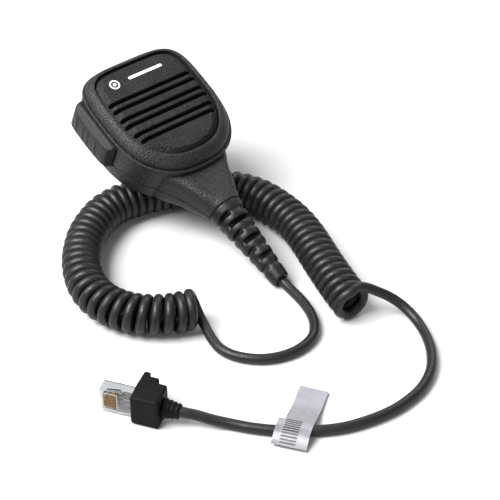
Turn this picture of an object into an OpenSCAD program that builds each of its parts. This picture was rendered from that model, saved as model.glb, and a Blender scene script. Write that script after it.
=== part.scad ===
// Hand microphone with a coiled cord and a modular plug.
// The microphone leans back on its coiled cord, and the tip of its strain relief touches the table.
// Units are millimetres. Row frame: Z up, table at z = 0, X to the right of the microphone.
// Local frame of the microphone: x right, y to its top end, z out of its face, 0 on the parting plane.

/* [Microphone head] */
// half the width of the head at the parting plane
head_half_w = 32.5; // [28:0.1:38]
// from the local origin to the top end
head_top = 31.6; // [26:0.1:38]
// from the local origin to the lower end of the front shell
head_low = 38.6; // [32:0.1:46]
// depth of the rear shell below the parting plane
head_depth = 29; // [22:0.5:34]
// wall of the shells
wall = 2; // [1.5:0.1:3]
// lean of the microphone, top end raised
lean = 24; // [0:1:40]

/* [Front panel] */
// half the width of the front panel
panel_half_w = 26.7; // [22:0.1:30]
// from the local origin to the panel's top edge
panel_top = 26.9; // [22:0.1:30]
// from the local origin to the panel's lower edge
panel_low = 30.8; // [26:0.1:36]
// width of a sound slot
slot_w = 1.8; // [0.8:0.1:2.5]
// distance between the two slots of a pair
slot_gap = 4.2; // [3:0.1:6]
// distance between the pairs of slots
slot_pitch = 10.1; // [8:0.1:14]

/* [Push-to-talk paddle] */
// length of the paddle
ptt_length = 32; // [26:0.5:44]
// how far the paddle reaches to the left of the local origin
ptt_reach = 36.8; // [34:0.1:40]
// travel of the paddle
ptt_travel = 1.5; // [0.5:0.1:3]

/* [Cord] */
// diameter of the cord's jacket
cord_d = 4.8; // [3.5:0.1:7]
// outer diameter of the coiled stretch
coil_d = 19.6; // [14:0.1:26]
// length of the strain relief outside the neck
relief_length = 46; // [30:1:60]

/* [Plug] */
// width of the modular plug, standing on its side
plug_w = 11.7; // [11.4:0.1:11.7]
// free length of the modular plug outside its boot
plug_out = 15.5; // [12:0.5:18]
// height of the moulded boot as it stands on the table
boot_h = 14; // [12:0.5:18]

/* [Hidden] */
$fn = 48;

// colours
shell_black = [0.09, 0.09, 0.10];
panel_black = [0.12, 0.12, 0.13];
rubber_black = [0.05, 0.05, 0.05];
cord_black = [0.07, 0.07, 0.07];
mark_white = [0.93, 0.93, 0.93];
board_green = [0.05, 0.30, 0.14];
steel = [0.70, 0.71, 0.73];
gold = [0.85, 0.65, 0.25];
clear = [0.90, 0.92, 0.93, 0.5];
film = [0.86, 0.87, 0.91];

// place of the microphone's local origin in the row frame
mic_at = [2.3, 29, 55.1];
// outline exponents: squarer at the top, rounder at the lower end
top_power = 4;
low_power = 2.4;
sides = 56;
// height of the bezel's groove edge and of the panel above the parting plane
bezel_h = 6.4;
panel_h = 6.9;
ledge_h = 3.2;
cloth_t = 0.5;
gasket_h = 1;
// the back rises toward the neck by this share of the depth
back_rise = 0.12;

// neck and strain relief
relief_z = -8.9;
neck_end = -60;
relief_r = 9;
tip_r = 4.6;
jacket_start = -34;

// push-to-talk paddle
ptt_mid = 6;
ptt_low = -17.5;
ptt_high = -1.8;
ptt_gap = 0.4;
press_z = -10.4;
press_length = 5;
paddle_round = 6;
paddle_back = -26.4;
switch_x = -19;

// board, switch and capsule
board_top = -6;
board_t = 1.6;
board_half_w = 15.5;
case_screw_at = [[20, 18], [-20, 18], [19, -19], [-19, -19]];
board_screw_at = [[12, 17], [-12, 17], [0, -19.5]];
clamp_screw_x = [-5.5, 5.5];
capsule_r = 4.85;
capsule_h = 6.7;

// place of the plug: foot of the boot's front edge, and the direction from the cord to the plug's tip
plug_at = [-108.4, -91.7, 0];
plug_heading = 120.5;
tail_y = 6;
tail_length = 8;
boot_length = 13;
latch_t = 1.2;

// route of the cord: from the strain relief to the coil, along the coil, and on to the plug
lead_mic = [[2.5, -64.5, 3.9], [2.7, -66.8, 2.9], [2.6, -69.9, 2.4], [1.7, -76.3, 2.4], [0, -84.2, 2.4],
    [-2.9, -92, 2.4], [-7.1, -98.4, 2.4], [-11.5, -102.5, 2.4], [-17.6, -104.9, 2.4],
    [-25.1, -105.5, 2.4], [-33.1, -103.7, 2.4], [-40.5, -99.5, 2.4], [-45.4, -94.4, 2.4],
    [-48.9, -88.3, 2.4], [-50.2, -81.5, 2.4], [-49.2, -75.5, 2.5], [-47.7, -70, 3.1],
    [-46.2, -64.8, 4.4], [-45.3, -60.6, 6.4], [-44.8, -57.8, 9], [-44.8, -55.9, 11.6],
    [-45.4, -55, 14.2], [-46.7, -55.3, 16.2], [-49, -58.4, 17.3]];
coil = [[-49.2, -58.6, 9.9], [-55.8, -56.1, 9.9], [-62.4, -52, 9.9], [-68.8, -46, 9.9],
    [-73.5, -38.4, 9.9], [-76, -29.4, 9.9], [-75.8, -18.8, 9.9], [-72.3, -7.9, 9.9], [-66.5, 2.4, 9.9],
    [-59.5, 11, 9.9], [-52.1, 18, 9.9], [-44, 23.3, 9.9], [-34.5, 27.6, 9.9], [-24.1, 28.8, 9.9],
    [-13.2, 27.1, 9.9], [-2.5, 23.5, 9.9], [7, 18.5, 9.9], [15.5, 12.5, 9.9], [23.4, 5.5, 9.9],
    [29.4, -3.2, 9.9], [32.9, -13.4, 9.9], [33.7, -24.6, 9.9], [33.1, -35.8, 9.9], [30.6, -47.9, 9.9],
    [26.5, -59.9, 9.9], [21.9, -72, 9.9], [17.6, -84.1, 9.9], [13.9, -95.6, 9.9], [11.4, -104.5, 9.9]];
lead_plug = [[12.6, -102.5, 17.3], [16, -103.6, 17.1], [19.5, -105, 15.6], [23.4, -107.6, 13],
    [27.6, -110.9, 10], [30.7, -115.5, 7], [31.9, -121, 4.6], [31.4, -127, 3], [29.2, -133.4, 2.4],
    [25.2, -140.8, 2.4], [20, -147.6, 2.4], [13.7, -153.5, 2.4], [6.3, -157.9, 2.4],
    [-1.9, -160.7, 2.4], [-9.4, -161.7, 2.4], [-16.2, -162, 2.4], [-23.9, -161.2, 2.4],
    [-32, -159.4, 2.4], [-40, -156.8, 2.4], [-47.3, -153.1, 2.4], [-54.1, -148.5, 2.4],
    [-60.6, -143, 2.4], [-66.8, -137, 2.4], [-72.7, -130.1, 2.4], [-78.3, -122.4, 2.7],
    [-83.2, -116.8, 3.9], [-87.6, -111.8, 5.6], [-92.6, -106.7, 7], [-99, -95.9, 7]];

// ---- shared shapes ----

function mix(a, b, t) = a + (b - a) * t;
function swell(v, p) = sign(v) * pow(abs(v), 2 / p);

// egg outline: half width w, reach up, reach down, squareness of the upper half
function egg(w, up, down, power, n = sides) = [
    for (i = [0 : n - 1])
        let (a = 360 * i / n, c = cos(a), s = sin(a), p = s > 0 ? power : low_power)
            [w * swell(c, p), (s > 0 ? up : down) * swell(s, p)]];

// outline between the head's edge (t = 0) and the panel's edge (t = 1)
function face_outline(t) = egg(mix(head_half_w, panel_half_w, t), mix(head_top, panel_top, t),
    mix(head_low, panel_low, t), mix(top_power, 5, t));

// head outline drawn in by a distance
function drawn_in(d) = egg(head_half_w - d, head_top - d, head_low - d, top_power);

function at_height(outline, z) = [for (p = outline) [p[0], p[1], z]];

// a depth that is reduced toward the neck, level at the parting plane
function raised(z, y) = -gasket_h + (z + gasket_h) * (1 - back_rise * max(0, min(1, -y / head_low)));
function at_depth(outline, z) = [for (p = outline) [p[0], p[1], raised(z, p[1])]];

// side faces between ring j and ring k, both of n points
function band(j, k, n) = [
    for (i = [0 : n - 1])
        let (m = (i + 1) % n)
            each [[j * n + i, j * n + m, k * n + i], [j * n + m, k * n + m, k * n + i]]];

// closed solid through a list of rings, from the lowest ring to the highest
module stack(rings) {
    n = len(rings[0]);
    last = len(rings) - 1;
    polyhedron(points = [for (r = rings) each r],
        faces = [
            [for (i = [0 : n - 1]) i],
            [for (i = [0 : n - 1]) last * n + n - 1 - i],
            for (j = [0 : last - 1]) for (f = band(j, j + 1, n)) [f[0], f[2], f[1]]
        ]);
}

// closed frame through a list of rings, the last ring joined to the first
module frame_of(rings) {
    n = len(rings[0]);
    count = len(rings);
    polyhedron(points = [for (r = rings) each r],
        faces = [for (j = [0 : count - 1]) for (f = band(j, (j + 1) % count, n)) [f[0], f[2], f[1]]]);
}

// tube of radius r along a route, capped at both ends
function route_step(p, i) = p[min(i + 1, len(p) - 1)] - p[max(i - 1, 0)];
function unit(v) = v / norm(v);
function tube_ring(c, t, r, n) =
    let (side = unit(cross(t, [0, 0, 1])), top = cross(side, t))
        [for (i = [0 : n - 1]) c + r * (cos(360 * i / n) * side - sin(360 * i / n) * top)];

module tube_along(route, r, n = 10) {
    stack([for (i = [0 : len(route) - 1]) tube_ring(route[i], unit(route_step(route, i)), r, n)]);
}

module posed() {
    translate(mic_at) rotate([lean, 0, 0]) children();
}

// place a child with its z axis along local -y (toward the cord) at a depth
module along_neck(y, z = relief_z) {
    translate([0, y, z]) rotate([90, 0, 0]) children();
}

module slot_shape(length, width) {
    square([length - width, width], center = true);
    for (side = [-1, 1])
        translate([side * (length - width) / 2, 0]) circle(d = width, $fn = 24);
}

// screw with a shallow head at the origin, its shank going up
module screw(shank_r, length, head_r, head_h) {
    difference() {
        union() {
            cylinder(r = head_r, h = head_h, $fn = 32);
            cylinder(r = shank_r, h = length, $fn = 24);
        }
        for (turn = [0, 90])
            rotate(turn) translate([-head_r * 0.6, -0.3, -0.1]) cube([head_r * 1.2, 0.6, head_h * 0.6]);
    }
}

// ---- microphone: shells ----

module front_shell() {
    profile = [[0, 0], [0, 1.1], [0.18, 1.3], [0.25, 2.9], [0.36, 4.1], [0.5, 5.1], [0.68, 6],
        [0.86, bezel_h], [1, bezel_h - 0.7], [1, ledge_h], [1.2, ledge_h], [1.2, 1.8], [0.9, 1.8],
        [0.72, 3.8], [0.5, 3.4], [0.36, 1], [0.36, 0]];
    color(shell_black) posed() {
        frame_of([for (p = profile) at_height(face_outline(p[0]), p[1])]);
        for (s = case_screw_at)
            screw_boss(s, s[0] > 0 ? 0 : 180);
    }
}

// boss for a case screw, with a rib toward the shell's wall
module screw_boss(at, turn) {
    boss_top = ledge_h - cloth_t - 0.1;
    translate([at[0], at[1], 0]) difference() {
        union() {
            translate([0, 0, -2]) cylinder(r = 3, h = boss_top + 2, $fn = 32);
            rotate(turn) translate([0, -1, 0]) cube([8, 2, boss_top]);
        }
        translate([0, 0, -3]) cylinder(r = 1.25, h = 5, $fn = 24);
    }
}

function slot_length(y) = y > -6 ? 50.6 : 50.6 - 5.2 * pow((-6 - y) / 9.7, 1.6);

module face_panel() {
    gap = 0.35;
    rings = [[gap, ledge_h], [gap, 5.4], [gap + 0.5, 6], [3.6, panel_h]];
    color(panel_black) posed() difference() {
        stack([for (r = rings)
            at_height(egg(panel_half_w - r[0], panel_top - r[0] * 0.7, panel_low - r[0], 5), r[1])]);
        for (pair = [0 : 2], half = [0, 1]) {
            y = 8.6 - slot_pitch * pair - slot_gap * half;
            translate([0, y, ledge_h - 1])
                linear_extrude(height = panel_h) slot_shape(slot_length(y), slot_w);
        }
    }
}

// plain generic marks printed above the slots: a ring with a dot, and a bar
module panel_emblem() {
    color(mark_white) posed() translate([0, 0, panel_h]) {
        translate([-15.4, 18.3, 0]) linear_extrude(height = 0.12) {
            difference() {
                circle(r = 2.7);
                circle(r = 1.9);
            }
            circle(r = 0.9);
        }
        translate([3.4, 18.5, 0]) linear_extrude(height = 0.12) slot_shape(20.5, 1.6);
    }
}

module grille_cloth() {
    color(rubber_black) posed() translate([0, 0, ledge_h - cloth_t])
        linear_extrude(height = cloth_t) polygon(egg(24.6, 24.2, 28.2, 4));
}

module shell_gasket() {
    color(rubber_black) posed() translate([0, 0, -gasket_h]) linear_extrude(height = gasket_h) difference() {
        polygon(drawn_in(0.5));
        polygon(drawn_in(1.9));
    }
}

tub_profile = [[0.4, -gasket_h], [0.7, -9], [1.5, -17], [2.6, -22.5], [4.4, -26.6], [7.2, -28.4],
    [10.5, -head_depth]];

module rear_shell() {
    top = -gasket_h;
    floor_z = -head_depth + 2.4;
    neck = [[-26, 22, -3, -25.5], [-31, 20.6, -2.4, -25], [-36, 18.5, -2, -24.4], [-42, 15.2, -1.6, -22.8],
        [-47, 13, -1.2, -21.4], [-52, 11.4, -0.8, -19.8], [-57, 9.9, -0.2, -18.4],
        [neck_end, 9.5, 0.4, -18.2]];
    color(shell_black) posed() difference() {
        union() {
            stack([for (i = [len(tub_profile) - 1 : -1 : 0])
                at_depth(drawn_in(tub_profile[i][0]), tub_profile[i][1])]);
            stack([for (s = neck) neck_section(s, 0)]);
        }
        difference() {
            union() {
                stack([at_depth(drawn_in(9.5), floor_z), at_depth(drawn_in(5), -25),
                    at_depth(drawn_in(3.6), -17), at_depth(drawn_in(wall + 0.3), top + 0.1)]);
                stack([for (s = [for (i = [0 : 5]) neck[i]]) neck_section(s, wall)]);
            }
            for (s = case_screw_at)
                translate([s[0], s[1], -40]) cylinder(r = 3, h = 40 - 2.2, $fn = 32);
            for (s = board_screw_at)
                translate([s[0], s[1], -40]) cylinder(r = 2.6, h = 40 + board_top - board_t, $fn = 32);
            translate([0, 12, -40]) cylinder(r = 5, h = 18, $fn = 32);
        }
        for (s = case_screw_at) {
            translate([s[0], s[1], -40]) cylinder(r = 1.5, h = 40, $fn = 24);
            translate([s[0], s[1], -40]) cylinder(r = 2.8, h = 40 - 21.5, $fn = 32);
        }
        for (s = board_screw_at)
            translate([s[0], s[1], -16]) cylinder(r = 0.9, h = 12, $fn = 24);
        translate([0, 12, -34]) cylinder(r = 1.6, h = 14, $fn = 24);
        along_neck(-50) cylinder(r = 7, h = 20);
        // window of the push-to-talk paddle
        translate([-40, ptt_mid - ptt_length / 2 - ptt_gap, ptt_low - ptt_gap])
            cube([16, ptt_length + 2 * ptt_gap, ptt_high - ptt_low + 2 * ptt_gap]);
    }
}

// neck section: [y, half width, top, bottom], drawn in by d
function neck_section(s, d, n = 32) = [
    for (i = [0 : n - 1])
        let (a = 360 * i / n, mid = (s[2] + s[3]) / 2, half = (s[2] - s[3]) / 2, p = s[0] > -50 ? 3.2 : 2.4)
            [(s[1] - d) * swell(cos(a), p), s[0], mid + (half - d) * swell(sin(a), p)]];

module case_screws() {
    color(steel) posed() for (s = case_screw_at)
        translate([s[0], s[1], -23.3]) screw(1.25, 24, 2.6, 1.8);
}

// ---- microphone: push-to-talk paddle and switch ----

module paddle_body(inset = 0) {
    reach = ptt_reach - inset;
    height = ptt_high - ptt_low;
    intersection() {
        translate([0, ptt_mid, ptt_low]) linear_extrude(height = height) intersection() {
            translate([paddle_back - 40, -ptt_length / 2]) square([40, ptt_length]);
            translate([140 - reach, 0]) circle(r = 140, $fn = 360);
            offset(r = paddle_round) translate([paddle_round - ptt_reach, paddle_round - ptt_length / 2])
                square([20, ptt_length - 2 * paddle_round]);
        }
        translate([0, 60, (ptt_high + ptt_low) / 2]) rotate([90, 0, 0])
            linear_extrude(height = 120) intersection() {
            translate([-60, -height / 2]) square([40, height]);
            translate([16 - reach, 0.8]) circle(r = 16, $fn = 180);
        }
    }
}

module ptt_paddle() {
    color(rubber_black) posed() {
        difference() {
            paddle_body();
            difference() {
                for (i = [0 : 4])
                    translate([-40, ptt_mid - 13 + 4.6 * i, -11]) rotate([28, 0, 0])
                        translate([0, -0.5, -12]) cube([20, 1, 21]);
                paddle_body(0.7);
                translate([-50, ptt_mid - ptt_length, -4.2]) cube([40, 2 * ptt_length, 10]);
            }
        }
        translate([paddle_back - 0.1, ptt_mid, press_z]) rotate([0, 90, 0])
            cylinder(r = 2, h = press_length, $fn = 32);
    }
}

module ptt_seal() {
    color(rubber_black) posed() difference() {
        translate([paddle_back + ptt_travel + 0.3, ptt_mid - 9, -17]) cube([1, 18, 14]);
        translate([paddle_back, ptt_mid, press_z]) rotate([0, 90, 0]) cylinder(r = 2.6, h = 6, $fn = 32);
    }
}

module switch_body() {
    color(panel_black) posed() difference() {
        translate([switch_x, ptt_mid - 4, press_z - 3]) cube([8, 8, board_top - board_t - press_z + 3]);
        translate([switch_x - 1, ptt_mid, press_z]) rotate([0, 90, 0]) cylinder(r = 1.55, h = 7, $fn = 32);
    }
}

module switch_plunger() {
    color(mark_white) posed() translate([switch_x - 2.2, ptt_mid, press_z]) rotate([0, 90, 0])
        cylinder(r = 1.5, h = 4.5, $fn = 32);
}

// ---- microphone: board, capsule, wires ----

module circuit_board() {
    color(board_green) posed() translate([0, 0, board_top - board_t]) difference() {
        linear_extrude(height = board_t) polygon(egg(board_half_w, 21, 23.5, 5));
        for (s = board_screw_at) translate([s[0], s[1], -1]) cylinder(r = 1.3, h = 4, $fn = 24);
    }
}

module board_screws() {
    color(steel) posed() for (s = board_screw_at)
        translate([s[0], s[1], board_top + 1.4]) rotate([180, 0, 0]) screw(0.9, 8, 2.1, 1.4);
}

module mic_capsule() {
    color(steel) posed() translate([0, 4, board_top]) difference() {
        cylinder(r = capsule_r, h = capsule_h);
        translate([0, 0, capsule_h - 0.4]) cylinder(r = 1, h = 1, $fn = 24);
    }
}

module capsule_grommet() {
    color(rubber_black) posed() translate([0, 4, board_top]) difference() {
        cylinder(r = 7.4, h = capsule_h + 1.6);
        translate([0, 0, -1]) cylinder(r = capsule_r, h = capsule_h + 1);
        cylinder(r = 3.6, h = 20);
    }
}

module board_header() {
    color(mark_white) posed() translate([-6, -15.5, board_top]) difference() {
        cube([12, 5, 5]);
        translate([0.8, 0.8, 1]) cube([10.4, 3.4, 6]);
    }
}

wire_colours = [[0.7, 0.1, 0.1], [0.1, 0.2, 0.6], [0.9, 0.9, 0.9], [0.8, 0.7, 0.1], [0.1, 0.1, 0.1]];

module inner_wires() {
    posed() for (i = [0 : 4]) {
        x = -4 + 2 * i;
        color(wire_colours[i]) tube_along([[x / 4, jacket_start, relief_z - 0.1], [x / 3, -31, -8],
            [x / 1.6, -28.5, -5], [x, -25, -2], [x, -20, 0.2], [x, -16, 1], [x, -13.8, 0], [x, -13, -2.2],
            [x, -12.9, -4.3]], 0.45, 8);
    }
}

module cord_clamp() {
    color(steel) posed() difference() {
        translate([-8, -42, -12.6]) cube([16, 6, 7]);
        along_neck(-30) cylinder(r = cord_d / 2, h = 20);
        for (x = clamp_screw_x) translate([x, -39, -20]) cylinder(r = 1.3, h = 20, $fn = 24);
    }
}

module clamp_screws() {
    color(steel) posed() for (x = clamp_screw_x)
        translate([x, -39, -4.2]) rotate([180, 0, 0]) screw(1.2, 11, 1.9, 1.4);
}

module hang_up_stud() {
    color(steel) posed() translate([0, 12, -head_depth]) rotate([180, 0, 0]) difference() {
        rotate_extrude() polygon([[0, 0], [6.5, 0], [6.5, 1], [4.5, 1.6], [4.5, 4.4], [6.8, 4.8], [7.2, 5.4],
            [6.8, 6.4], [5.6, 6.9], [0, 6.9]]);
        translate([0, 0, -1]) cylinder(r = 1.7, h = 20, $fn = 24);
        translate([0, 0, 5]) cylinder(r = 3.2, h = 5, $fn = 32);
    }
}

module hang_up_screw() {
    color(steel) posed() translate([0, 12, -head_depth - 6.8]) screw(1.6, 15, 3.1, 1.8);
}

// ---- strain relief ----

function relief_radius(d) = relief_r - (relief_r - tip_r) * pow(d / relief_length, 0.9);

module strain_relief() {
    slots = 7;
    first = 5.5;
    pitch = 5.4;
    color(rubber_black) posed() along_neck(neck_end) difference() {
        rotate_extrude() polygon([[0, -4], [6.9, -4], [6.9, 0], [relief_r, 0],
            for (i = [0 : 8]) let (d = 1 + (relief_length - 2) * i / 8) [relief_radius(d), d],
            [tip_r - 0.4, relief_length], [0, relief_length]]);
        translate([0, 0, -10]) cylinder(r = cord_d / 2, h = relief_length + 20);
        for (i = [0 : slots - 1]) {
            d = first + pitch * i;
            r = relief_radius(d);
            rotate(i % 2 == 0 ? 0 : 90) for (side = [0, 180]) rotate(side)
                translate([3.2, 0, d]) rotate([90, 0, 90])
                    linear_extrude(height = 10) slot_shape(r * 1.9, 2.4);
        }
    }
}

module inner_jacket() {
    color(cord_black) posed() along_neck(jacket_start)
        cylinder(r = cord_d / 2, h = relief_length - neck_end + jacket_start);
}

// ---- cord ----

module cord_lead_mic() {
    color(cord_black) tube_along(lead_mic, cord_d / 2);
}

module cord_coil() {
    color(cord_black) tube_along(coil, coil_d / 2, 12);
}

module cord_lead_plug() {
    color(cord_black) tube_along(lead_plug, cord_d / 2);
}

// ---- plug, standing on its side: x toward the plug's tip, y away from its contacts ----

module plug_place() {
    translate(plug_at) rotate(plug_heading) mirror([0, 1, 0]) children();
}

module boot_tail() {
    color(rubber_black) plug_place()
        translate([-boot_length, tail_y, boot_h / 2]) rotate([0, -90, 0]) difference() {
        rotate_extrude() polygon([[0, 0], [4.9, 0],
            for (i = [0 : 3]) each [[4.7 - 0.3 * i, 0.5 + 2 * i], [4.7 - 0.3 * i, 1.5 + 2 * i],
                [3.6 - 0.15 * i, 1.7 + 2 * i], [3.6 - 0.15 * i, 2.3 + 2 * i]],
            [3, tail_length], [0, tail_length]]);
        translate([0, 0, -1]) cylinder(r = cord_d / 2, h = tail_length + 2);
    }
}

module plug_boot() {
    color(rubber_black) plug_place() difference() {
        linear_extrude(height = boot_h) union() {
            translate([-boot_length, 0]) offset(r = 1) offset(delta = -1) square([boot_length, 12]);
            translate([-8, 5]) offset(r = 0.8) offset(delta = -0.8) square([8, 10]);
            translate([-3, 5]) offset(r = 0.6) offset(delta = -0.6) square([3, 12.4]);
        }
        translate([-6, 2.1, (boot_h - plug_w) / 2]) cube([20, 8, plug_w]);
        translate([-5, 8, boot_h / 2 - 3.5]) cube([20, 5.5, 7]);
        translate([-20, tail_y, boot_h / 2]) rotate([0, 90, 0]) cylinder(r = cord_d / 2, h = 30);
    }
}

module plug_body() {
    color(clear) plug_place() translate([0, 2.1, (boot_h - plug_w) / 2]) difference() {
        translate([-6, 0, 0]) cube([6 + plug_out, 6.6, plug_w]);
        translate([-7, 1.6, 1.6]) cube([13, 3.6, plug_w - 3.2]);
        for (i = [0 : 7])
            translate([plug_out - 8, -1, plug_w / 2 - 3.57 + 1.02 * i - 0.3]) cube([6.4, 3.1, 0.6]);
        for (i = [0 : 7])
            translate([3, 2, plug_w / 2 - 3.57 + 1.02 * i - 0.42]) cube([9, 0.9, 0.84]);
    }
}

module plug_contacts() {
    color(gold) plug_place() translate([0, 2.1, (boot_h - plug_w) / 2]) for (i = [0 : 7])
        translate([plug_out - 7.8, 0.15, plug_w / 2 - 3.57 + 1.02 * i - 0.2]) cube([6, 1.8, 0.4]);
}

module plug_wires() {
    plug_place() for (i = [0 : 7])
        color(wire_colours[i % 5]) translate([-4, 4.52, boot_h / 2 - 3.57 + 1.02 * i]) rotate([0, 90, 0])
            cylinder(r = 0.38, h = 15, $fn = 16);
}

module plug_latch() {
    color(clear) plug_place() translate([plug_out - 1, 9.35, boot_h / 2]) {
        cylinder(r = latch_t / 2, h = 6, center = true, $fn = 24);
        rotate(-12) translate([-13, -latch_t / 2, -3]) cube([13, latch_t, 6]);
    }
}

// film flag over the cord, drooping to the table at both ends
module cord_label() {
    over = cord_d + 0.08;
    line = [[-18, 1.6], [-11.6, over], [-2.8, over], [18, 0.6]];
    color(film) translate([-53.5, -141, 0]) rotate([90, 0, 31]) linear_extrude(height = 13, center = true)
        polygon([each line, for (i = [3 : -1 : 0]) line[i] + [0, 0.3]]);
}

front_shell();
face_panel();
panel_emblem();
grille_cloth();
shell_gasket();
rear_shell();
case_screws();
ptt_paddle();
ptt_seal();
switch_body();
switch_plunger();
circuit_board();
board_screws();
mic_capsule();
capsule_grommet();
board_header();
inner_wires();
cord_clamp();
clamp_screws();
hang_up_stud();
hang_up_screw();
strain_relief();
inner_jacket();
cord_lead_mic();
cord_coil();
cord_lead_plug();
boot_tail();
plug_boot();
plug_body();
plug_contacts();
plug_wires();
plug_latch();
cord_label();
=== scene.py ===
"""Hand microphone with a coiled cord and a modular plug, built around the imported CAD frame.

Lengths in the shape functions are millimetres in one of two local frames: the microphone's (x right,
y to its top end, z out of its face) and the plug's (x to its tip, y away from its contacts, z up).
Everything is turned into metres in the row frame when its mesh is made.
"""
import math

import bpy
import numpy as np
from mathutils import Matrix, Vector


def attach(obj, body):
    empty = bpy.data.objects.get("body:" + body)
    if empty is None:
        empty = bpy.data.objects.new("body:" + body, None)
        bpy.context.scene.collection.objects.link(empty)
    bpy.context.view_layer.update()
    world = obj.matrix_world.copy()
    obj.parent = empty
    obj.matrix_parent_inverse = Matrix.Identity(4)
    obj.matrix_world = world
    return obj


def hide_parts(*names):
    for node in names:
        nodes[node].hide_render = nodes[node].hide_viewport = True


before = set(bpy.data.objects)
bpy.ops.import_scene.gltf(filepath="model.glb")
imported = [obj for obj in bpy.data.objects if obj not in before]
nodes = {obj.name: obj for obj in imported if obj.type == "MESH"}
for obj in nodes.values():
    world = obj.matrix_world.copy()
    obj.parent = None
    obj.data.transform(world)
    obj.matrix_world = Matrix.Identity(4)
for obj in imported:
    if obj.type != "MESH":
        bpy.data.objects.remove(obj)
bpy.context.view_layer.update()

MM = 0.001
# where each local frame has its origin, and how it is turned
MIC_AT = np.array([2.3, 29.0, 55.1])
LEAN = math.radians(24)
PLUG_AT = np.array([-108.4, -91.7, 0.0])
PLUG_HEADING = math.radians(120.5)
CORD_D = 4.8

MIC_AXES = np.array([
    [1, 0, 0],
    [0, math.cos(LEAN), math.sin(LEAN)],
    [0, -math.sin(LEAN), math.cos(LEAN)],
])
PLUG_AXES = np.array([
    [math.cos(PLUG_HEADING), math.sin(PLUG_HEADING), 0],
    [math.sin(PLUG_HEADING), -math.cos(PLUG_HEADING), 0],
    [0, 0, 1],
])


def from_mic(points):
    """The microphone's millimetres as metres in the row frame."""
    return (np.asarray(points, float) @ MIC_AXES + MIC_AT) * MM


def from_plug(points):
    """The plug's millimetres as metres in the row frame."""
    return (np.asarray(points, float) @ PLUG_AXES + PLUG_AT) * MM


# ---- camera, floor and lights ----

def look_at(place, target):
    return (Vector(target) - Vector(place)).to_track_quat("-Z", "Y").to_euler()


def add_camera():
    azimuth, elevation, distance = math.radians(-40.4), math.radians(38), 0.78
    target = Vector((0.0094, -0.0329, 0))
    across = math.cos(elevation)
    back = Vector((math.sin(azimuth) * across, -math.cos(azimuth) * across, math.sin(elevation)))
    data = bpy.data.cameras.new("camera")
    data.lens, data.sensor_width = 113.5, 36
    camera = bpy.data.objects.new("camera", data)
    camera.location = target + distance * back
    camera.rotation_euler = look_at(camera.location, target)
    bpy.context.scene.collection.objects.link(camera)
    bpy.context.scene.camera = camera


def add_light(name, place, size, power):
    data = bpy.data.lights.new(name, "AREA")
    data.shape, data.size, data.size_y = "RECTANGLE", size[0], size[1]
    data.energy = power
    light = bpy.data.objects.new(name, data)
    light.location = place
    light.rotation_euler = look_at(place, (0, -0.05, 0.02))
    bpy.context.scene.collection.objects.link(light)


def add_studio():
    size, drop = 3.0, 0.0002
    corners = [(-size, -size, 0), (size, -size, 0), (size, size, 0), (-size, size, 0)]
    mesh = bpy.data.meshes.new("floor")
    mesh.from_pydata(corners, [], [(0, 1, 2, 3)])
    floor = bpy.data.objects.new("floor", mesh)
    floor.location = (0, 0, -drop)
    bpy.context.scene.collection.objects.link(floor)
    mesh.materials.append(plain("studio_floor", (0.55, 0.55, 0.55), 0.95, Specular_IOR_Level=0.1))
    world = bpy.data.worlds.new("studio")
    world.use_nodes = True
    background = world.node_tree.nodes["Background"]
    background.inputs["Color"].default_value = (1, 1, 1, 1)
    background.inputs["Strength"].default_value = 0.4
    bpy.context.scene.world = world
    bpy.context.scene.view_settings.view_transform = "Standard"
    add_light("key", (-0.8, 0.25, 1.25), (1.0, 1.0), 60)
    add_light("fill", (0.9, 0.4, 0.9), (0.8, 0.6), 6)
    add_light("front", (-0.3, -1.2, 0.8), (0.9, 0.5), 2)


# ---- materials ----

def shader(name, colour, roughness, **sockets):
    """A material with its node tree and its shader, whose other sockets are given by name."""
    material = bpy.data.materials.new(name)
    material.use_nodes = True
    bsdf = material.node_tree.nodes["Principled BSDF"]
    bsdf.inputs["Base Color"].default_value = (*colour, 1)
    bsdf.inputs["Roughness"].default_value = roughness
    for socket, value in sockets.items():
        bsdf.inputs[socket.replace("_", " ")].default_value = value
    return material, material.node_tree, bsdf


def plain(name, colour, roughness, **sockets):
    return shader(name, colour, roughness, **sockets)[0]


def linked(tree, node_type, inputs=(), **settings):
    """A new node with its settings made and its inputs set or linked."""
    node = tree.nodes.new(node_type)
    for key, value in settings.items():
        setattr(node, key, value)
    for socket, value in dict(inputs).items():
        if isinstance(value, bpy.types.NodeSocket):
            tree.links.new(value, node.inputs[socket])
        else:
            node.inputs[socket].default_value = value
    return node


def noise_at(tree, scale, detail=3.0):
    """Noise over the object, about scale grains to a metre."""
    place = linked(tree, "ShaderNodeTexCoord").outputs["Object"]
    inputs = {"Vector": place, "Scale": scale, "Detail": detail}
    return linked(tree, "ShaderNodeTexNoise", inputs).outputs["Fac"]


def mapped(tree, value, low, high):
    """The usual span of a noise, 0.3 to 0.7, brought to low to high."""
    inputs = {"Value": value, "From Min": 0.3, "From Max": 0.7, "To Min": low, "To Max": high}
    return linked(tree, "ShaderNodeMapRange", inputs).outputs["Result"]


def two_tone(tree, factor, dark, light):
    """A mix of two colours."""
    node = tree.nodes.new("ShaderNodeMix")
    node.data_type = "RGBA"
    tree.links.new(factor, node.inputs[0])
    node.inputs[6].default_value, node.inputs[7].default_value = (*dark, 1), (*light, 1)
    return node.outputs[2]


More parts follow.
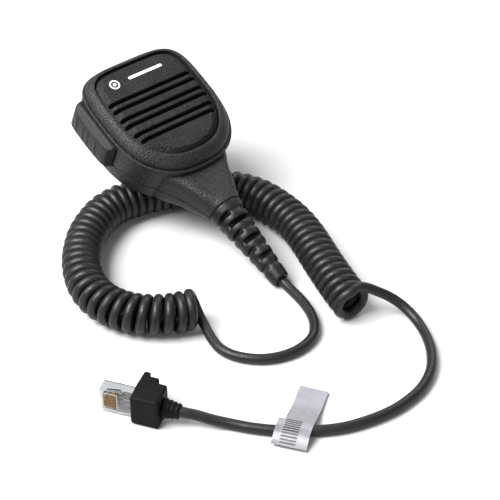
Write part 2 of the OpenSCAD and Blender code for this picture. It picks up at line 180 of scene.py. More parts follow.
def moulded(name, dark, light, rough, grain_scale, grain, **sockets):
    """Moulded plastic or rubber: a fine grain in the surface and slow changes of tone and gloss."""
    material, tree, bsdf = shader(name, dark, rough[0], **sockets)
    slow, fine = noise_at(tree, 90.0), noise_at(tree, grain_scale, 1.0)
    # how far the grain moves the tone between dark and light
    depth = 0.5 + 2.4 * grain
    tone = linked(tree, "ShaderNodeMath", {0: fine, 1: depth}, operation="MULTIPLY_ADD")
    tree.links.new(mapped(tree, slow, 0.3 - depth / 2, 0.7 - depth / 2), tone.inputs[2])
    tree.links.new(two_tone(tree, tone.outputs[0], dark, light), bsdf.inputs["Base Color"])
    tree.links.new(mapped(tree, fine, *rough), bsdf.inputs["Roughness"])
    bump = linked(tree, "ShaderNodeBump", {"Height": fine, "Strength": grain, "Distance": 0.0005})
    tree.links.new(bump.outputs["Normal"], bsdf.inputs["Normal"])
    return material


# ---- shapes given by distance functions ----

def surface(distance, low, high, step, rounds=3):
    """Points and quads on the zero level of a distance function, which is negative inside."""
    axes = [np.arange(low[k] - 1.5 * step, high[k] + 2.5 * step, step) for k in range(3)]
    inside = distance(*np.meshgrid(*axes, indexing="ij")) < 0
    n = np.array(inside.shape) - 1
    count = sum(inside[i:n[0] + i, j:n[1] + j, k:n[2] + k].astype(np.int8)
                for i in (0, 1) for j in (0, 1) for k in (0, 1))
    mixed = (count > 0) & (count < 8)
    index = np.full(mixed.shape, -1)
    index[mixed] = np.arange(mixed.sum())
    points = (np.argwhere(mixed) + 0.5) * step + [a[0] for a in axes]
    quads = []
    for axis in range(3):
        a, b = (axis + 1) % 3, (axis + 2) % 3
        first = np.take(inside, range(n[axis]), axis)
        second = np.take(inside, range(1, n[axis] + 1), axis)
        for leaving in (True, False):
            at = np.argwhere((first & ~second) if leaving else (second & ~first))
            corners = []
            for da, db in ((1, 1), (0, 1), (0, 0), (1, 0)):
                cell = at.copy()
                cell[:, a] -= da
                cell[:, b] -= db
                corners.append(index[tuple(cell.T)])
            quads.append(np.stack(corners if leaving else corners[::-1], 1))
    quads = np.concatenate(quads)
    for _ in range(rounds):
        points = pulled(distance, pulled(distance, averaged(points, quads), step), step)
    return points, quads


def averaged(points, quads):
    """Each point moved to the middle of its neighbours."""
    start, end = quads.ravel(), np.roll(quads, 1, 1).ravel()
    pairs = np.concatenate([start, end]), np.concatenate([end, start])
    total = np.stack([np.bincount(pairs[0], points[pairs[1], k], len(points)) for k in range(3)], 1)
    return total / np.bincount(pairs[0], minlength=len(points))[:, None]


def pulled(distance, points, step):
    """Each point moved onto the zero level along the slope."""
    h = 0.01
    value = distance(*points.T)
    slope = np.stack([distance(*(points + h * np.eye(3)[k]).T) - value for k in range(3)], 1) / h
    move = (value / np.maximum((slope ** 2).sum(1), 0.1))[:, None] * slope
    length = np.maximum(np.linalg.norm(move, axis=1), 1e-9)[:, None]
    return points - move * np.minimum(1, step / length)


def lesser(a, b, r):
    """Union of two distances with a fillet of about r."""
    h = np.clip(0.5 + 0.5 * (b - a) / r, 0, 1)
    return b + (a - b) * h - r * h * (1 - h)


def greater(a, b, r):
    """Intersection of two distances with a rounded edge of about r."""
    return -lesser(-a, -b, r)


def through(x, knots, values):
    """Smooth curve through a table, level with its ends beyond them."""
    knots, values = np.asarray(knots, float), np.asarray(values, float)
    slopes = np.gradient(values, knots)
    x = np.clip(x, knots[0], knots[-1])
    i = np.clip(np.searchsorted(knots, x) - 1, 0, len(knots) - 2)
    span = knots[i + 1] - knots[i]
    t = (x - knots[i]) / span
    return ((1 + 2 * t) * (1 - t) ** 2 * values[i] + t * (1 - t) ** 2 * span * slopes[i]
            + t * t * (3 - 2 * t) * values[i + 1] + t * t * (t - 1) * span * slopes[i + 1])


def oval(x, y, w, h, power):
    """Distance to a superellipse of half width w and half height h."""
    ax, ay = np.abs(x) / w, np.abs(y) / h
    g = np.maximum((ax ** power + ay ** power) ** (1 / power), 1e-3)
    slope = np.hypot(ax ** (power - 1) / w, ay ** (power - 1) / h) * g ** (1 - power)
    return (g - 1) / np.maximum(slope, 1e-6)


def egg(x, y, w, up, down, power, low_power):
    """Distance to an outline made of two half superellipses, one upward and one downward."""
    return np.where(y > 0, oval(x, y, w, up, power), oval(x, y, w, down, low_power))


def box(x, y, z, low, high, r):
    """Distance to a box with rounded edges."""
    q = [np.maximum(low[k] - v, v - high[k]) + r for k, v in enumerate((x, y, z))]
    outside = np.sqrt(sum(np.maximum(v, 0) ** 2 for v in q))
    return outside + np.minimum(np.maximum(np.maximum(q[0], q[1]), q[2]), 0) - r


def rod(x, y, r):
    """Distance to an endless round bar."""
    return np.hypot(x, y) - r


def slab(v, low, high):
    """Distance to the space between two planes."""
    return np.maximum(low - v, v - high)


def bar(u, v, length, width):
    """Distance to a flat bar with round ends, along u."""
    return np.hypot(np.maximum(np.abs(u) - (length - width) / 2, 0), v) - width / 2


# ---- pieces ----

def piece(name, points, faces, material, node, body="housing", sharp=None):
    """A mesh piece in the row frame, riding on a body and, where a node is named, standing for it."""
    mesh = bpy.data.meshes.new(name)
    mesh.from_pydata(points.tolist(), [], faces.tolist() if isinstance(faces, np.ndarray) else faces)
    mesh.materials.append(material)
    mesh.shade_smooth()
    if sharp:
        mesh.set_sharp_from_angle(angle=math.radians(sharp))
    obj = bpy.data.objects.new(name, mesh)
    bpy.context.scene.collection.objects.link(obj)
    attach(obj, body)
    if node:
        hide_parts(node)
    return obj


def bands(rings, count):
    """Quads between rings of count points each, and from the last ring back to the first."""
    faces = []
    for j in range(rings):
        k = (j + 1) % rings
        for i in range(count):
            m = (i + 1) % count
            faces.append((j * count + i, j * count + m, k * count + m, k * count + i))
    return faces


# ---- microphone ----

# half width, reach up, reach down, squareness of the upper and of the lower half
HEAD = (32.6, 31.7, 38.6, 4.0, 2.5)
PANEL = (26.7, 26.9, 30.5, 5.0, 2.35)


def egg_ring(shape, z, count=220):
    """Points round an egg outline at a height."""
    w, up, down, power, low_power = shape
    ring = []
    for i in range(count):
        c, s = math.cos(2 * math.pi * i / count), math.sin(2 * math.pi * i / count)
        p = 2 / (power if s > 0 else low_power)
        reach = up if s > 0 else down
        ring.append((w * math.copysign(abs(c) ** p, c), reach * math.copysign(abs(s) ** p, s), z))
    return ring


def between(t):
    """The outline at a share of the way from the head's edge to the panel's."""
    return tuple(a + (b - a) * t for a, b in zip(HEAD, PANEL))


def smooth_profile(knots, steps=5):
    """Catmull-Rom points through the knots, open at both ends."""
    k = [np.array(p, float) for p in knots]
    out = []
    for i in range(len(k) - 1):
        before, after = k[max(i - 1, 0)], k[min(i + 2, len(k) - 1)]
        for j in range(steps):
            t = j / steps
            a, b = (k[i + 1] - before) / 2, (after - k[i]) / 2
            out.append((1 + 2 * t) * (1 - t) ** 2 * k[i] + t * (1 - t) ** 2 * a
                       + t * t * (3 - 2 * t) * k[i + 1] + t * t * (t - 1) * b)
    return out + [k[-1]]


def make_bezel(material):
    """Domed ring round the panel; each profile point is a share toward the panel and a height."""
    lip = [(0.05, 0), (0.0, 0.1), (-0.01, 0.5), (0.02, 0.9), (0.09, 1.05), (0.165, 1.1)]
    line = [(0.175, 0.75), (0.195, 0.75)]
    roll = [(0.2, 1.3), (0.205, 2.0), (0.25, 3.0), (0.34, 4.0), (0.46, 4.85), (0.6, 5.65), (0.73, 6.15),
            (0.84, 6.35), (0.91, 6.4), (0.95, 6.2), (0.985, 5.6)]
    inner = [(0.985, 3.2), (1.2, 3.2), (1.2, 1.8), (0.9, 1.8), (0.72, 3.8), (0.56, 3.4), (0.42, 1),
             (0.42, 0)]
    profile = smooth_profile(lip, 4) + line + smooth_profile(roll, 5) + inner
    rings = [egg_ring(between(t), z) for t, z in profile]
    points = from_mic([p for ring in rings for p in ring])
    faces = bands(len(rings), len(rings[0]))
    return piece("front_bezel", points, faces, material, "front_shell", sharp=40)


def make_gasket(material):
    outside, inside, thick = 0.9, 2.2, 1
    rings = [egg_ring((*(v - d for v in HEAD[:3]), *HEAD[3:]), z)
             for d, z in ((outside, 0), (outside, -thick), (inside, -thick), (inside, 0))]
    points = from_mic([p for ring in rings for p in ring])
    faces = [f[::-1] for f in bands(len(rings), len(rings[0]))]
    return piece("parting_gasket", points, faces, material, "shell_gasket", sharp=40)


def panel_distance(x, y, z):
    """Face panel: flat in the middle, lower toward its edge, with three pairs of slots and a notch."""
    gap, flat_z, drop = 0.3, 6.9, 2.2
    first_slot, pair_pitch, slot_pitch = 8.6, 10.1, 4.2
    longest, width = 50.6, 2.1
    edge = egg(x, y, *(v - gap for v in PANEL[:3]), *PANEL[3:])
    flat = egg(x, y, 22.3, 24.5, 28.1, 7.0, 2.35)
    share = np.clip(flat / np.maximum(flat - edge, 0.1), 0, 1)
    top = z - (flat_z - drop * share)
    solid = greater(np.maximum(edge, 3.2 - z), top, 0.35)
    for pair in range(3):
        for half in range(2):
            slot_y = first_slot - pair_pitch * pair - slot_pitch * half
            length = longest if slot_y > -6 else longest - 5.2 * ((-6 - slot_y) / 9.7) ** 1.6
            solid = greater(solid, -bar(x, y - slot_y, length, width), 0.3)
    notch = bar(x - 22.6, y - 17.2, 2.2, 0.8)
    return greater(solid, -np.maximum(notch, 6.3 - z), 0.2)


def make_panel(material):
    points, faces = surface(panel_distance, (-27, -32.5, 3.2), (27, 27.5, 7), 0.4)
    return piece("slotted_panel", from_mic(points), faces, material, "face_panel")


# neck: places along y and the section at each, whose lower half is rounder near the neck's end
NECK_END = -60
NECK_Y = [NECK_END, -57, -52, -47, -44, -42, -40, -37, -34, -30.3, -24]
NECK_W = [9.3, 9.7, 11.3, 12.9, 14.0, 14.9, 16.0, 17.9, 19.5, 20.9, 22.0]
NECK_TOP = [0.3, -0.1, -0.7, -1.0, -1.1, -1.2, -1.3, -1.4, -1.6, -1.8, -4]
NECK_BOTTOM = [-18.0, -18.3, -19.8, -21.3, -22.0, -22.7, -23.3, -24.2, -24.8, -25.3, -26]
NECK_SQUARE = [2.1, 2.5, 4.0, 5.5, 6, 6, 6, 6, 6, 6, 6]
BACK_Z = -29
RELIEF_Z = -8.9
CASE_SCREWS = [(20, 18), (-20, 18), (19, -19), (-19, -19)]
STUD_Y = 12
# paddle: its middle, half the length of its window in the case, and its ribs
PADDLE_Y = 6.6
WINDOW_HALF = 16.4
RIBS = (16.0, 10.3, 6.6, 0.2)


def tub_depth(z, y):
    """Depth before the back's rise toward the neck."""
    return -1 + (z + 1) / (1 - 0.12 * np.clip(-y / HEAD[2], 0, 1))


def rear_distance(x, y, z):
    """Rear case: the tub and the neck, hollowed, with posts for the screws and the paddle's window."""
    deep = tub_depth(z, y)
    inset = through(deep, [BACK_Z, -28.4, -26.6, -22.5, -17, -9, -1], [9.5, 6.2, 3.6, 2.0, 1.3, 0.9, 0.8])
    side = egg(x, y, *HEAD)
    tub = greater(side + inset, np.maximum(z + 1, -40 - z), 0.4)
    tub = greater(tub, BACK_Z - deep, 2.0)
    top, bottom = through(y, NECK_Y, NECK_TOP), through(y, NECK_Y, NECK_BOTTOM)
    middle, half = (top + bottom) / 2, (top - bottom) / 2
    square = through(y, NECK_Y, NECK_SQUARE)
    power = np.where(z > middle, square, np.minimum(square, 2.2 + 0.1 * (y - NECK_END)))
    neck = oval(x, z - middle, through(y, NECK_Y, NECK_W), half, np.maximum(power, 2.1))
    neck = greater(neck, np.maximum(NECK_END - y, y + 24), 0.8)
    body = lesser(tub, neck, 0.35)
    body = np.maximum(body, np.where(y > -38.6, z + 1, -50))
    # seam of the back cover
    seam_depth, seam_width = 0.45, 0.42
    seam_z = through(y, [NECK_END, -48, -36, -28, 40], [-10.4, -12.2, -13.6, -14.5, -14.5])
    body = body + seam_depth * np.exp(-((z - seam_z) / seam_width) ** 2) * (body > -1.2)
    # the hollow stops at the neck, where the bore goes on to its end
    wall, inner_back, inner_end = 2.2, -26.6, -36
    inner = np.maximum(np.maximum(side + inset + wall, inner_back - deep), z + 0.9)
    hollow = np.maximum(inner, inner_end - y)
    bore = np.maximum(rod(x, z - RELIEF_Z, 7), np.maximum(y + 34, -70 - y))
    # posts, with a bore for the shank and a wider one for the head
    post, shank, head = 4.2, 1.5, 2.8
    for sx, sy in CASE_SCREWS:
        hollow = np.maximum(hollow, -np.maximum(rod(x - sx, y - sy, post), z + 2.2))
    hollow = np.maximum(hollow, -np.maximum(rod(x, y - STUD_Y, 5), z + 22))
    body = np.maximum(body, -np.minimum(hollow, bore))
    for sx, sy in CASE_SCREWS:
        wide = np.maximum(rod(x - sx, y - sy, head), z + 21.5)
        body = np.maximum(body, -np.minimum(rod(x - sx, y - sy, shank), wide))
    window = box(x, y, z, (-50, PADDLE_Y - WINDOW_HALF, -17.7), (-24, PADDLE_Y + WINDOW_HALF, -1.4), 2.0)
    return greater(body, -window, 0.3)


def make_rear(material):
    points, faces = surface(rear_distance, (-33, -60.5, -29.5), (33, 32, 1), 0.45)
    return piece("rear_case", from_mic(points), faces, material, "rear_shell")


def paddle_distance(x, y, z):
    """Talk paddle: a hollowed side, a sloped strip above it, four ribs and a foot behind."""
    y0 = y - PADDLE_Y
    out = np.hypot(np.maximum(-30.7 - x, 0), np.maximum(np.abs(y0) - 10, 0)) - 6
    body = np.maximum(out, x + 26.4)
    body = greater(body, -(x + 36.9 - y0 ** 2 / 280 - (z + 8.5) ** 2 / 75), 1.2)
    body = greater(body, slab(z, -17.3, -1.6), 1.6)
    # sloped upper strip
    body = greater(body, 0.74 * (z + 1.6) - 0.673 * (x + 33.0), 0.5)
    # upright ribs, which fade at both ends
    rib_height, rib_width = 0.5, 0.75
    fade = np.clip((-5.6 - z) / 1.5, 0, 1) * np.clip((z + 16.6) / 2.5, 0, 1)
    for rib in RIBS:
        across = y - rib - 0.1 * (z + 11)
        body = body - rib_height * np.exp(-(across / rib_width) ** 2) * fade * (x < -33)
    foot = np.maximum(rod(y0, z + 10.4, 2), slab(x, -27, -21.5))
    return np.minimum(body, foot)


def make_paddle(material):
    points, faces = surface(paddle_distance, (-37.8, -11.5, -17.8), (-21, 23.5, -1.3), 0.33)
    return piece("talk_paddle", from_mic(points), faces, material, "ptt_paddle",
                 body="paddle")


RELIEF_LENGTH = 46
RELIEF_SLOTS = 7
FIRST_SLOT, SLOT_PITCH = 5.5, 5.4


def relief_radius(d):
    """Radius of the relief at a distance from the neck's end."""
    return 9 - 4.4 * (d / RELIEF_LENGTH) ** 0.9


def relief_distance(x, y, z):
    """x across, y across, z along the cord from the neck's end."""
    d = np.clip(z, 0, RELIEF_LENGTH)
    station = (d - FIRST_SLOT) / SLOT_PITCH
    near = np.round(np.clip(station, 0, RELIEF_SLOTS - 1))
    waist = 0.35 * np.exp(-((station - near) * SLOT_PITCH / 1.3) ** 2)
    body = greater(np.hypot(x, y) - relief_radius(d) + waist, slab(z, 0, RELIEF_LENGTH), 0.9)
    body = np.minimum(body, np.maximum(rod(x, y, 6.9), slab(z, -4, 1)))
    for i in range(RELIEF_SLOTS):
        at = FIRST_SLOT + SLOT_PITCH * i
        width = 2 * 0.95 * relief_radius(at)
        across, out = (y, x) if i % 2 == 0 else (x, y)
        window = np.maximum(bar(across, z - at, width, 2.4), 3.2 - np.abs(out))
        body = greater(body, -window, 0.6)
    return np.maximum(body, -rod(x, y, CORD_D / 2))


def make_relief(material):
    points, faces = surface(relief_distance, (-9.5, -9.5, -4.2), (9.5, 9.5, 46.5), 0.36)
    along = points[:, [0, 2, 1]] * [1, -1, 1] + [0, NECK_END, RELIEF_Z]
    return piece("slotted_relief", from_mic(along), faces, material, "strain_relief")


# ---- plug ----

BOOT_H = 15.4
BOOT_BACK = -13
TAIL_LENGTH = 8
# the cord's line in the plug: y, and the height of the plug's middle
CORD_Y, PLUG_MIDDLE = 6, 7
CONTACTS = 8
CONTACT_PITCH = 1.02
FIRST_CONTACT = PLUG_MIDDLE - (CONTACTS - 1) / 2 * CONTACT_PITCH


def boot_distance(x, y, z):
    """Boot: a block, a step and a hood toward the latch, with the plug's socket and the latch's pocket."""
    body = box(x, y, z, (BOOT_BACK, -1.2, 0), (0, 12, BOOT_H), 1.3)
    step = box(x, y, z, (-8, 5, 0.2), (0, 15, BOOT_H - 0.2), 0.9)
    hood = box(x, y, z, (-3, 5, 0.4), (0, 17.4, BOOT_H - 0.4), 0.7)
    body = lesser(lesser(body, step, 0.5), hood, 0.4)
    socket = box(x, y, z, (-6, 2.1, 1.15), (20, 8.7, 12.85), 0.3)
    pocket = box(x, y, z, (-5, 8, 3.5), (20, 13.5, 10.5), 0.3)
    bore = rod(y - CORD_Y, z - PLUG_MIDDLE, CORD_D / 2)
    seam = 0.16 * np.exp(-((y - 5.2) / 0.22) ** 2) + 0.12 * np.exp(-((y - 12) / 0.25) ** 2)
    return greater(body + seam * (z > PLUG_MIDDLE), -np.minimum(np.minimum(socket, pocket), bore), 0.25)


def make_boot(material):
    points, faces = surface(boot_distance, (BOOT_BACK, -1.2, 0), (0, 17.5, BOOT_H), 0.3)
    return piece("plug_shroud", from_plug(points), faces, material, "plug_boot")


def tail_distance(x, y, z):
    """z along the cord from the boot's rear face."""
    d = np.clip(z, 0, TAIL_LENGTH)
    groove, pitch = 0.55, 2.0
    outer = 4.75 - 0.16 * d - groove * (0.5 - 0.5 * np.cos(2 * math.pi * (d - 1.0) / pitch))
    body = greater(np.hypot(x, y) - outer, slab(z, -0.5, TAIL_LENGTH), 0.5)
    return np.maximum(body, -rod(x, y, CORD_D / 2))


def make_tail(material):
    points, faces = surface(tail_distance, (-5, -5, -0.5), (5, 5, TAIL_LENGTH), 0.28)
    along = np.stack([BOOT_BACK - points[:, 2], CORD_Y + points[:, 0], PLUG_MIDDLE + points[:, 1]], 1)
    return piece("plug_tail", from_plug(along), faces, material, "boot_tail")


def clear_distance(x, y, z):
    """Modular plug: y from its contact side, z across its width."""
    body = box(x, y, z, (-6, 2.1, 1.15), (15.5, 8.7, 12.85), 0.35)
    rear = box(x, y, z, (-7, 3.5, 2.6), (6, 7.4, 11.4), 0.3)
    body = np.maximum(body, -rear)
    # a slot for each contact and a bore for its wire
    for i in range(CONTACTS):
        at = FIRST_CONTACT + CONTACT_PITCH * i
        slot = np.maximum(np.abs(z - at) - 0.3, np.maximum(slab(x, 7.5, 13.9), y - 4.2))
        bore = np.maximum(rod(y - 4.55, z - at, 0.44), slab(x, 3, 12))
        body = np.maximum(body, -np.minimum(slot, bore))
    return body


def make_clear_plug(material):
    points, faces = surface(clear_distance, (-6, 2, 1), (15.6, 8.8, 13), 0.2, rounds=2)
    return piece("clear_plug", from_plug(points), faces, material, "plug_body")


def latch_distance(x, y, z):
    """Springy arm: root at the front of the plug, rising to the rear, with its two shoulders."""
    along, up = -x, y
    centre = through(along, [0, 2, 5, 9, 13], [0.1, 0.75, 1.45, 2.2, 2.75])
    thick = through(along, [0, 3, 6, 13], [0.62, 0.55, 0.75, 0.5])
    half = np.interp(along, [0, 5.5, 6.5, 13], [3.0, 3.0, 1.6, 1.6])
    plate = np.maximum(np.abs(up - centre) - thick, np.abs(z) - half)
    arm = greater(plate, slab(along, -0.1, 13), 0.3)
    return np.minimum(arm, np.maximum(rod(x, y, 0.6), np.abs(z) - 3))


def make_latch(material):
    points, faces = surface(latch_distance, (-13.2, -0.7, -3.2), (0.7, 3.6, 3.2), 0.2, rounds=2)
    placed = points + [14.5, 9.35, PLUG_MIDDLE]
    return piece("latch_arm", from_plug(placed), faces, material, "plug_latch",
                 body="latch")


# ---- cord ----

# coil: radius of the cord's centre line, number of turns and the height of its lowest point
TURN_R = 7.4
TURNS = 59
COIL_REST = 2.5
# routes: microphone to coil, the coil's axis seen from above, coil to plug
LEAD_MIC = [
    (2.7, -64.1, 3.9), (2.9, -66.6, 2.9), (2.6, -69.9, 2.4), (1.7, -76.3, 2.4), (0, -84.2, 2.4),
    (-2.9, -92, 2.4), (-7.1, -98.4, 2.4), (-11.5, -102.5, 2.4), (-17.6, -104.9, 2.4),
    (-25.1, -105.5, 2.4), (-33.1, -103.7, 2.4), (-40.5, -99.5, 2.4), (-45.4, -94.4, 2.4),
    (-48.9, -88.3, 2.4), (-50.2, -81.5, 2.4), (-49.2, -75.5, 2.5), (-47.7, -70, 3.1),
    (-46.2, -64.8, 4.4), (-45.3, -60.6, 6.4), (-44.8, -57.8, 9), (-44.8, -55.9, 11.6),
    (-45.4, -55, 14.2), (-46.7, -55.3, 16.2)]
COIL = [
    (-49.2, -58.6), (-55.8, -56.1), (-62.4, -52), (-68.8, -46), (-73.5, -38.4), (-76, -29.4),
    (-75.8, -18.8), (-72.3, -7.9), (-66.5, 2.4), (-59.5, 11), (-52.1, 18), (-44, 23.3), (-34.5, 27.6),
    (-24.1, 28.8), (-13.2, 27.1), (-2.5, 23.5), (7, 18.5), (15.5, 12.5), (23.4, 5.5), (29.4, -3.2),
    (32.9, -13.4), (33.7, -24.6), (33.1, -35.8), (30.6, -47.9), (26.5, -59.9), (21.9, -72),
    (17.6, -84.1), (13.9, -95.6), (11.4, -104.5)]
LEAD_PLUG = [
    (16, -103.6, 17.1), (19.5, -105, 15.6), (23.4, -107.6, 13), (27.6, -110.9, 10), (30.7, -115.5, 7),
    (31.9, -121, 4.6), (31.4, -127, 3), (29.2, -133.4, 2.4), (25.2, -140.8, 2.4), (20, -147.6, 2.4),
    (13.7, -153.5, 2.4), (6.3, -157.9, 2.4), (-1.9, -160.7, 2.4), (-9.4, -161.7, 2.4),
    (-16.2, -162, 2.4), (-23.9, -161.2, 2.4), (-32, -159.4, 2.4), (-40, -156.8, 2.4),
    (-47.3, -153.1, 2.4), (-54.1, -148.5, 2.4), (-60.6, -143, 2.4), (-66.8, -137, 2.4),
    (-72.7, -130.1, 2.4), (-78.3, -122.4, 2.7), (-83.2, -116.8, 3.9), (-87.6, -111.8, 5.6),
    (-92.6, -106.7, 7), (-99, -95.9, 7)]


def resampled(route, step):
    """Points every step along a smooth curve through the route."""
    route = np.asarray(route, float)
    chord = np.concatenate([[0], np.cumsum(np.linalg.norm(np.diff(route, axis=0), axis=1))])
    at = np.linspace(0, chord[-1], int(chord[-1] / step) + 1)
    return np.stack([through(at, chord, route[:, k]) for k in range(route.shape[1])], 1)


def coil_points(per_turn=20):
    """Left-handed helix along the coil's route.

    The very first turns are closer together, those over the first fifth a little wider apart, and a
    slow ripple runs through all of them.
    """
    axis = resampled([(x, y, COIL_REST + TURN_R) for x, y in COIL], 1.0)
    length = np.concatenate([[0], np.cumsum(np.linalg.norm(np.diff(axis, axis=0), axis=1))])
    share = np.linspace(0, 1, TURNS * per_turn + 1)
    wider, closer = 0.1 * np.exp(-(share / 0.2) ** 2), 0.35 * np.exp(-(share / 0.02) ** 2)
    pace = 1 + wider - closer + 0.02 * np.sin(46 * share)
    along = np.concatenate([[0], np.cumsum((pace[1:] + pace[:-1]) / 2)])
    along *= length[-1] / along[-1]
    centre = np.stack([np.interp(along, length, axis[:, k]) for k in range(3)], 1)
    ahead = np.gradient(centre, axis=0)
    ahead /= np.linalg.norm(ahead, axis=1)[:, None]
    left = np.stack([-ahead[:, 1], ahead[:, 0], np.zeros(len(ahead))], 1)
    turn = (2 * math.pi * TURNS * share)[:, None]
    return centre + TURN_R * (np.cos(turn) * [0, 0, 1] + np.sin(turn) * left)


def make_cord(material):
    """One curve from the microphone through the coil to the plug."""
    helix = coil_points()
    lead_in = resampled(np.concatenate([LEAD_MIC, helix[1:3]]), 1.5)
    lead_out = resampled(np.concatenate([helix[-3:-1], LEAD_PLUG]), 1.5)
    route = np.concatenate([lead_in[:-1], helix[2:-3], lead_out]) * MM
    data = bpy.data.curves.new("coiled_cord", "CURVE")
    data.dimensions = "3D"
    data.bevel_depth, data.bevel_resolution = CORD_D / 2 * MM, 4
    data.use_fill_caps = True
    spline = data.splines.new("POLY")
    spline.points.add(len(route) - 1)
    spline.points.foreach_set("co", np.concatenate([route, np.ones((len(route), 1))], 1).ravel())
    spline.use_smooth = True
    data.materials.append(material)
    cord = bpy.data.objects.new("coiled_cord", data)
    bpy.context.scene.collection.objects.link(cord)
    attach(cord, "housing")
    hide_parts("cord_lead_mic", "cord_coil", "cord_lead_plug")
    return cord


# ---- film label ----

LABEL_AT = np.array([-53.5, -141.0])
LABEL_HEADING = math.radians(33)
LABEL_KNOTS = [-19, -14, -10.5, -7.2, -3.5, 3, 11, 19]
LABEL_RISE = [0.7, 2.6, 4.6, 5.15, 4.75, 3.1, 1.5, 1.2]


def label_point(t, w, lift):
    """A point at t along the label and w across it."""
    c, s = math.cos(LABEL_HEADING), math.sin(LABEL_HEADING)
    curl = 0.35 * math.sin(w / 6.5) * math.exp(-((t - 20) / 5) ** 2)
    z = through(t, LABEL_KNOTS, LABEL_RISE) + lift + curl
    return (LABEL_AT[0] + t * c - w * s, LABEL_AT[1] + t * s + w * c, z)


def film(name, t_range, w_range, lift, thick, material, node=None, cells=(40, 10)):
    """Thin film over the cord: a grid on both faces, closed round its edge."""
    rows, cols = cells
    ts, ws = np.linspace(*t_range, rows + 1), np.linspace(*w_range, cols + 1)
    points = [label_point(t, w, lift + side * thick) for side in (0, 1) for t in ts for w in ws]
    n, wide = (rows + 1) * (cols + 1), cols + 1
    faces = []
    for i in range(rows):
        for j in range(cols):
            a = i * wide + j
            b = n + a
            faces += [(a, a + 1, a + wide + 1, a + wide), (b + wide, b + wide + 1, b + 1, b)]
    rim = ([j for j in range(cols)] + [i * wide + cols for i in range(rows)]
           + [rows * wide + j for j in range(cols, 0, -1)] + [i * wide for i in range(rows, 0, -1)])
    for a, b in zip(rim, rim[1:] + rim[:1]):
        faces.append((b, a, n + a, n + b))
    return piece(name, np.array(points) * MM, faces, material, node, sharp=40)


def make_label(film_material, wrap_material, ink):
    """The flag, whose white film is coloured dark grey as painted shade, its wrap round the cord and a row
    of plain bars in place of print.
    """
    label = film("label_flag", (-16.2, 22.5), (-6.5, 6.5), 0.0, 0.14, film_material, "cord_label")
    wrap = film("label_wrap", (-16, -2.5), (5.2, 9.2), -0.28, 0.12, wrap_material, cells=(20, 6))
    bars = [film(f"label_bar_{i + 1}", (t, t + 0.7), (-1.4, 5.8), 0.145, 0.03, ink, cells=(2, 4))
            for i, t in enumerate(np.arange(-15.2, -2.8, 1.3))]
    return [label, wrap] + bars


# ---- materials of the scene ----

black = moulded("grained_black", (0.002, 0.002, 0.0022), (0.020, 0.020, 0.021), (0.38, 0.55), 1300, 0.9,
                Specular_IOR_Level=0.3)
panel_black = moulded("grained_panel", (0.002, 0.002, 0.0022), (0.020, 0.020, 0.021), (0.45, 0.65), 1300,
                      1.0, Specular_IOR_Level=0.2)
paddle_black = moulded("satin_paddle", (0.007, 0.007, 0.0075), (0.017, 0.017, 0.018), (0.42, 0.6), 1600,
                       0.5, Specular_IOR_Level=0.22)
relief_black = moulded("satin_relief", (0.003, 0.003, 0.0035), (0.007, 0.007, 0.0075), (0.36, 0.5), 1200,
                       0.12, Specular_IOR_Level=0.35)
cord_black = moulded("satin_cord", (0.004, 0.004, 0.0045), (0.009, 0.009, 0.0095), (0.36, 0.52), 900, 0.15,
                     Specular_IOR_Level=0.36)
boot_black = moulded("matte_boot", (0.002, 0.002, 0.0022), (0.006, 0.006, 0.0063), (0.45, 0.65), 2000, 0.35,
                     Specular_IOR_Level=0.1)
seal_black = moulded("soft_rubber", (0.006, 0.006, 0.006), (0.01, 0.01, 0.01), (0.6, 0.8), 1500, 0.2)
cloth = moulded("acoustic_cloth", (0.003, 0.003, 0.003), (0.007, 0.007, 0.007), (0.85, 1.0), 3000, 0.8)
switch_grey = moulded("switch_body_grey", (0.03, 0.03, 0.032), (0.045, 0.045, 0.05), (0.4, 0.55), 1500, 0.2)
nylon = moulded("natural_nylon", (0.62, 0.6, 0.53), (0.72, 0.7, 0.63), (0.4, 0.55), 1200, 0.15)
laminate = moulded("green_laminate", (0.01, 0.09, 0.035), (0.02, 0.13, 0.05), (0.25, 0.4), 1600, 0.3)
zinc = moulded("zinc_steel", (0.42, 0.42, 0.43), (0.55, 0.55, 0.57), (0.25, 0.42), 2500, 0.15, Metallic=1.0)
plated = moulded("plated_stud", (0.55, 0.55, 0.57), (0.66, 0.66, 0.68), (0.12, 0.24), 1500, 0.08,
                 Metallic=1.0)
capsule = moulded("drawn_aluminium", (0.6, 0.6, 0.61), (0.7, 0.7, 0.71), (0.28, 0.4), 2500, 0.15,
                  Metallic=1.0)
gold = moulded("contact_gold", (0.24, 0.13, 0.03), (0.38, 0.22, 0.06), (0.2, 0.35), 1500, 0.08,
               Metallic=1.0)
print_white = moulded("screen_print", (0.72, 0.72, 0.73), (0.85, 0.85, 0.86), (0.45, 0.6), 2200, 0.2)
ink = moulded("label_ink", (0.02, 0.018, 0.018), (0.04, 0.035, 0.035), (0.35, 0.5), 1800, 0.1)
# painted shade: the label film is really white, but is coloured dark grey so that it reads as the label in
# shade
film_white_painted_shade = moulded("film_white_painted_shade", (0.15, 0.15, 0.17), (0.24, 0.24, 0.26), (0.22, 0.34), 300, 0.1)
film_clear = moulded("film_wrap", (0.2, 0.2, 0.22), (0.3, 0.3, 0.32), (0.15, 0.3), 300, 0.1,
                     Transmission_Weight=0.35)
# painted shade: the plug's plastic is really clear, but is tinted grey so that less light comes through it
# and it reads as shaded
clear = moulded("clear_polycarbonate_painted_shade", (0.44, 0.46, 0.48), (0.52, 0.54, 0.56), (0.03, 0.09), 250, 0.05,
                Transmission_Weight=1.0, IOR=1.25)


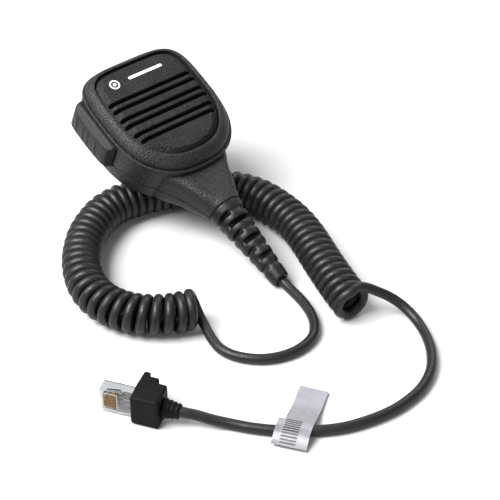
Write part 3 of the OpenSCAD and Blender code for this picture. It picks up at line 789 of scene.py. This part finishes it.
def wire_bands(name, axis, start, pitch, colours):
    """Wire insulation whose colour goes by the wire's place across the row."""
    material, tree, bsdf = shader(name, colours[0], 0.35)
    place = linked(tree, "ShaderNodeTexCoord").outputs["Object"]
    dot = linked(tree, "ShaderNodeVectorMath", {0: place, 1: axis}, operation="DOT_PRODUCT")
    end = start + pitch * len(colours)
    span = {"Value": dot.outputs["Value"], "From Min": start * MM, "From Max": end * MM}
    share = linked(tree, "ShaderNodeMapRange", span).outputs["Result"]
    ramp = tree.nodes.new("ShaderNodeValToRGB")
    ramp.color_ramp.interpolation = "CONSTANT"
    while len(ramp.color_ramp.elements) < len(colours):
        ramp.color_ramp.elements.new(1)
    for i, colour in enumerate(colours):
        ramp.color_ramp.elements[i].position = i / len(colours)
        ramp.color_ramp.elements[i].color = (*colour, 1)
    tree.links.new(share, ramp.inputs["Fac"])
    tree.links.new(ramp.outputs["Color"], bsdf.inputs["Base Color"])
    tree.links.new(mapped(tree, noise_at(tree, 1500), 0.28, 0.45), bsdf.inputs["Roughness"])
    return material


RED, BLUE, WHITE = (0.45, 0.02, 0.02), (0.02, 0.07, 0.4), (0.75, 0.75, 0.75)
YELLOW, DARK = (0.65, 0.45, 0.03), (0.015, 0.015, 0.015)
plug_colours = [WHITE, BLUE, WHITE, DARK, BLUE, WHITE, RED, YELLOW]
plug_wire_material = wire_bands("plug_wire_jackets", (0, 0, 1), FIRST_CONTACT - CONTACT_PITCH / 2,
                                CONTACT_PITCH, plug_colours)
# five wires side by side, 2 mm apart, about the microphone's middle
inner_colours = [RED, BLUE, WHITE, YELLOW, DARK]
inner_wire_material = wire_bands("inner_wire_jackets", (1, 0, 0), MIC_AT[0] - 5, 2.0, inner_colours)

add_camera()
add_studio()

cord = make_cord(cord_black)
boot = make_boot(boot_black)
tail = make_tail(boot_black)
clear_plug = make_clear_plug(clear)
latch = make_latch(clear)
label = make_label(film_white_painted_shade, film_clear, ink)

make_bezel(black)
make_gasket(seal_black)
make_panel(panel_black)
make_rear(black)
make_paddle(paddle_black)
make_relief(relief_black)

for node, material in {
    "panel_emblem": print_white, "grille_cloth": cloth, "case_screws": zinc, "ptt_seal": seal_black,
    "switch_body": switch_grey, "switch_plunger": nylon, "circuit_board": laminate, "board_screws": zinc,
    "mic_capsule": capsule, "capsule_grommet": seal_black, "board_header": nylon,
    "inner_wires": inner_wire_material, "cord_clamp": zinc, "clamp_screws": zinc, "hang_up_stud": plated,
    "hang_up_screw": zinc, "inner_jacket": cord_black, "plug_contacts": gold,
    "plug_wires": plug_wire_material,
}.items():
    for k in range(len(nodes[node].material_slots)):
        nodes[node].material_slots[k].material = material
